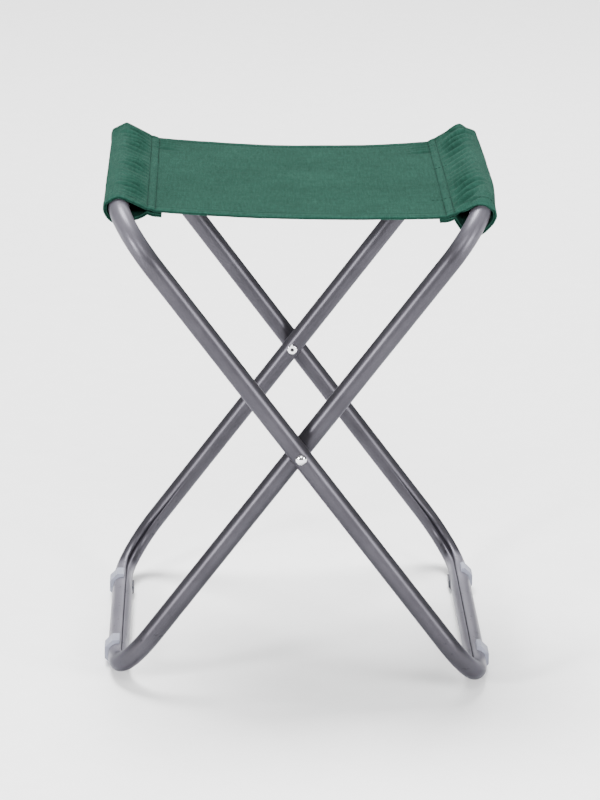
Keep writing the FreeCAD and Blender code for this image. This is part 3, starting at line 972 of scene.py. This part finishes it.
def thread_loops(places):
    """One mesh of thread capsules; each place is (middle, normal, half step)."""
    points, faces = [], []
    for spot, up, half in places:
        side = up.cross(half).normalized()
        rings = []
        for t, lift, fat in STITCH_RINGS:
            centre = spot + half * t + up * (0.5 * THICK + lift * 0.5 * MM)
            rings.append(len(points))
            for k in range(STITCH_SIDES):
                turn = math.tau * k / STITCH_SIDES
                spoke = side * math.cos(turn) + up * math.sin(turn)
                points.append(centre + spoke * STITCH_RADIUS * fat)
        for a, b in zip(rings, rings[1:]):
            for k in range(STITCH_SIDES):
                after = (k + 1) % STITCH_SIDES
                faces.append((a + k, a + after, b + after, b + k))
        faces.append(tuple(rings[0] + k for k in reversed(range(STITCH_SIDES))))
        faces.append(tuple(rings[-1] + k for k in range(STITCH_SIDES)))
    return points, faces


def sew(cloth, path, stack):
    """Stitches along a path of (distance along, nominal y) corners, through layers `stack` deep."""
    places = []
    for (run_a, y_a), (run_b, y_b) in zip(path, path[1:]):
        length = math.hypot(run_b - run_a, y_b - y_a)
        count = max(1, round(length / STITCH))
        for k in range(count):
            spots = []
            for share in (0.14, 0.5, 0.86):
                t = (k + share) / count
                spots.append(cloth.at(run_a + (run_b - run_a) * t, y_a + (y_b - y_a) * t))
            half = (spots[2][0] - spots[0][0]) / 2.0
            places.append((spots[1][0], spots[1][1], half))
            places.append((spots[1][0] - spots[1][1] * stack, -spots[1][1], half))
    return places


def stitching(cloth):
    """All the stitches: the seams' rows, the hems' rows and two short bar tacks."""
    left, right = cloth.run[cloth.first], cloth.run[cloth.last]
    reach = SLEEVE_HALF - 1.5 * MM
    hem = SLEEVE_HALF - HEM_ROW
    places = []
    for run in (left, left + ROW_GAP, right - ROW_GAP, right):
        places += sew(cloth, [(run, -reach), (run, reach)], LAYER)
    start, stop = cloth.run[0] + FLAP + 2.0 * MM, cloth.run[-1] - FLAP - 2.0 * MM
    clear = 1.5 * MM                  # the hems' rows stop short of the seams
    spans = [(start, left - clear), (left + ROW_GAP + clear, right - ROW_GAP - clear),
             (right + clear, stop)]
    for end in (FRONT, REAR):
        for a, b in spans:
            places += sew(cloth, [(a, end * hem), (b, end * hem)], HEM_DEPTH)
    bar_tack = -SLEEVE_HALF + 46.0 * MM
    places += sew(cloth, [(right - ROW_GAP - 9.0 * MM, bar_tack), (right + 1.0 * MM, bar_tack)], LAYER)
    corner = 22.0 * MM
    places += sew(cloth, [(right - ROW_GAP, corner), (right + 4.5 * MM, corner - 1.0 * MM)], LAYER)
    return new_object("seat_stitching", *thread_loops(places))


# -------- put together

def main():
    paint = tube_material()
    plastic = foot_material()
    for side, name in ((OUTER, "outer_frame"), (INNER, "inner_frame")):
        tube = tube_mesh(side, name + "_bent_tube", name)
        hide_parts(name + "_tube")
        set_material(tube, paint)
    plated = steel_material("rivet_steel", (0.62, 0.62, 0.64), (0.78, 0.78, 0.80), 0.05)
    bare = steel_material("joiner_steel", (0.42, 0.42, 0.43), (0.55, 0.55, 0.56), 0.30)
    matt = washer_material()
    looks = {"rivet": plated, "joiner": bare, "washer": matt, "foot": plastic}
    for name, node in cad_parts.items():
        for ending, material in looks.items():
            if name.endswith(ending):
                set_node_material(node, material)

    cloth = Cloth()
    seat = cloth.build()
    set_material(seat, cloth_material())
    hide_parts("outer_seat_sleeve", "inner_seat_sleeve", "seat_panel")
    threads = stitching(cloth)
    set_material(threads, thread_material())
    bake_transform(seat)
    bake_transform(threads)
    studio()


def set_node_material(node, material):
    """Gives a carried-over CAD node its finish, without touching its mesh."""
    if not node.material_slots:
        node.data.materials.append(material)
        return
    for slot in node.material_slots:
        slot.link = "OBJECT"
        slot.material = material


FLOOR_HALF = 30.0
# Name, place, size and watts of the soft lights, which all face the middle of the stool.
SOFT_LIGHTS = [("left", (-1.9, -1.7, 0.95), 0.5, 95.0), ("right", (1.9, -1.7, 0.95), 0.8, 85.0),
               ("front", (0.0, -2.3, 2.4), 1.2, 60.0), ("back", (0.3, 1.9, 1.7), 1.2, 30.0)]
MIDDLE_OF_STOOL = Vector((0.0, 0.0, 0.2))
SUN_DIRECTION = Vector((0.12, -0.32, -1.0))
CAMERA_PLACE = (-0.0725, -2.6041, 1.0316)
CAMERA_PITCH, CAMERA_YAW, CAMERA_ROLL = 0.3091, 0.0291, 0.0101     # radians
CAMERA_LENS = 150.36                # mm, on a 36 mm sensor


def studio():
    """Pale floor, soft lights and the camera."""
    studio_floor()
    world_light()
    for name, place, size, power in SOFT_LIGHTS:
        soft_light(name, place, size, power)
    sun = bpy.data.lights.new("overhead", "SUN")
    sun.energy = 7.7
    sun.angle = math.radians(28.0)
    place_lamp("overhead", sun, (0.0, 0.0, 0.0), SUN_DIRECTION)
    camera()


def studio_floor():
    floor = Nodes("studio_floor")
    grain = floor.noise(floor.position(), 40.0, 2.0)
    colour = floor.ramp(grain, (0.3, (0.90, 0.90, 0.90)), (0.7, (0.92, 0.92, 0.92)))
    floor.set(Base_Color=colour, Roughness=0.9)
    corners = [(x * FLOOR_HALF, y * FLOOR_HALF, 0) for x, y in ((-1, -1), (1, -1), (1, 1), (-1, 1))]
    plane = new_object("studio_floor", corners, [(0, 1, 2, 3)])
    set_material(plane, floor.owner)


def world_light():
    """Dark at the horizon and pale overhead, and pale all round where it is seen directly."""
    n = Nodes("studio", world=True)
    axes = n.add("ShaderNodeSeparateXYZ", Vector=n.add("ShaderNodeTexCoord").outputs["Generated"])
    fade = n.add("ShaderNodeMapRange", Value=axes.outputs[2], From_Min=0.12, From_Max=0.75,
                 To_Min=0.04, To_Max=0.45)
    seen = n.math("MULTIPLY", n.add("ShaderNodeLightPath").outputs["Is Camera Ray"], 2.3)
    n.set(Color=(1.0, 1.0, 1.0, 1.0), Strength=n.math("MAXIMUM", fade.outputs[0], seen))
    bpy.context.scene.world = n.owner


def soft_light(name, place, size, power):
    data = bpy.data.lights.new(name, "AREA")
    data.size = size
    data.energy = power
    place_lamp(name, data, place, MIDDLE_OF_STOOL - Vector(place))


def place_lamp(name, data, place, direction):
    lamp = bpy.data.objects.new(name, data)
    lamp.location = place
    lamp.rotation_mode = "QUATERNION"
    lamp.rotation_quaternion = direction.to_track_quat("-Z", "Y")
    bpy.context.scene.collection.objects.link(lamp)


def camera():
    pitch, yaw, roll = CAMERA_PITCH, CAMERA_YAW, CAMERA_ROLL
    ahead = Vector((math.sin(yaw) * math.cos(pitch), math.cos(yaw) * math.cos(pitch), -math.sin(pitch)))
    right = Vector((math.cos(yaw), -math.sin(yaw), 0.0))
    up = right.cross(ahead)
    rolled_right = right * math.cos(roll) + up * math.sin(roll)
    rolled_up = up * math.cos(roll) - right * math.sin(roll)
    lens = bpy.data.cameras.new("camera")
    lens.sensor_width = 36.0
    lens.lens = CAMERA_LENS
    view = bpy.data.objects.new("camera", lens)
    bpy.context.scene.collection.objects.link(view)
    axes = Matrix((rolled_right, rolled_up, -ahead)).transposed()
    view.matrix_world = Matrix.Translation(CAMERA_PLACE) @ axes.to_4x4()
    bpy.context.scene.camera = view


main()
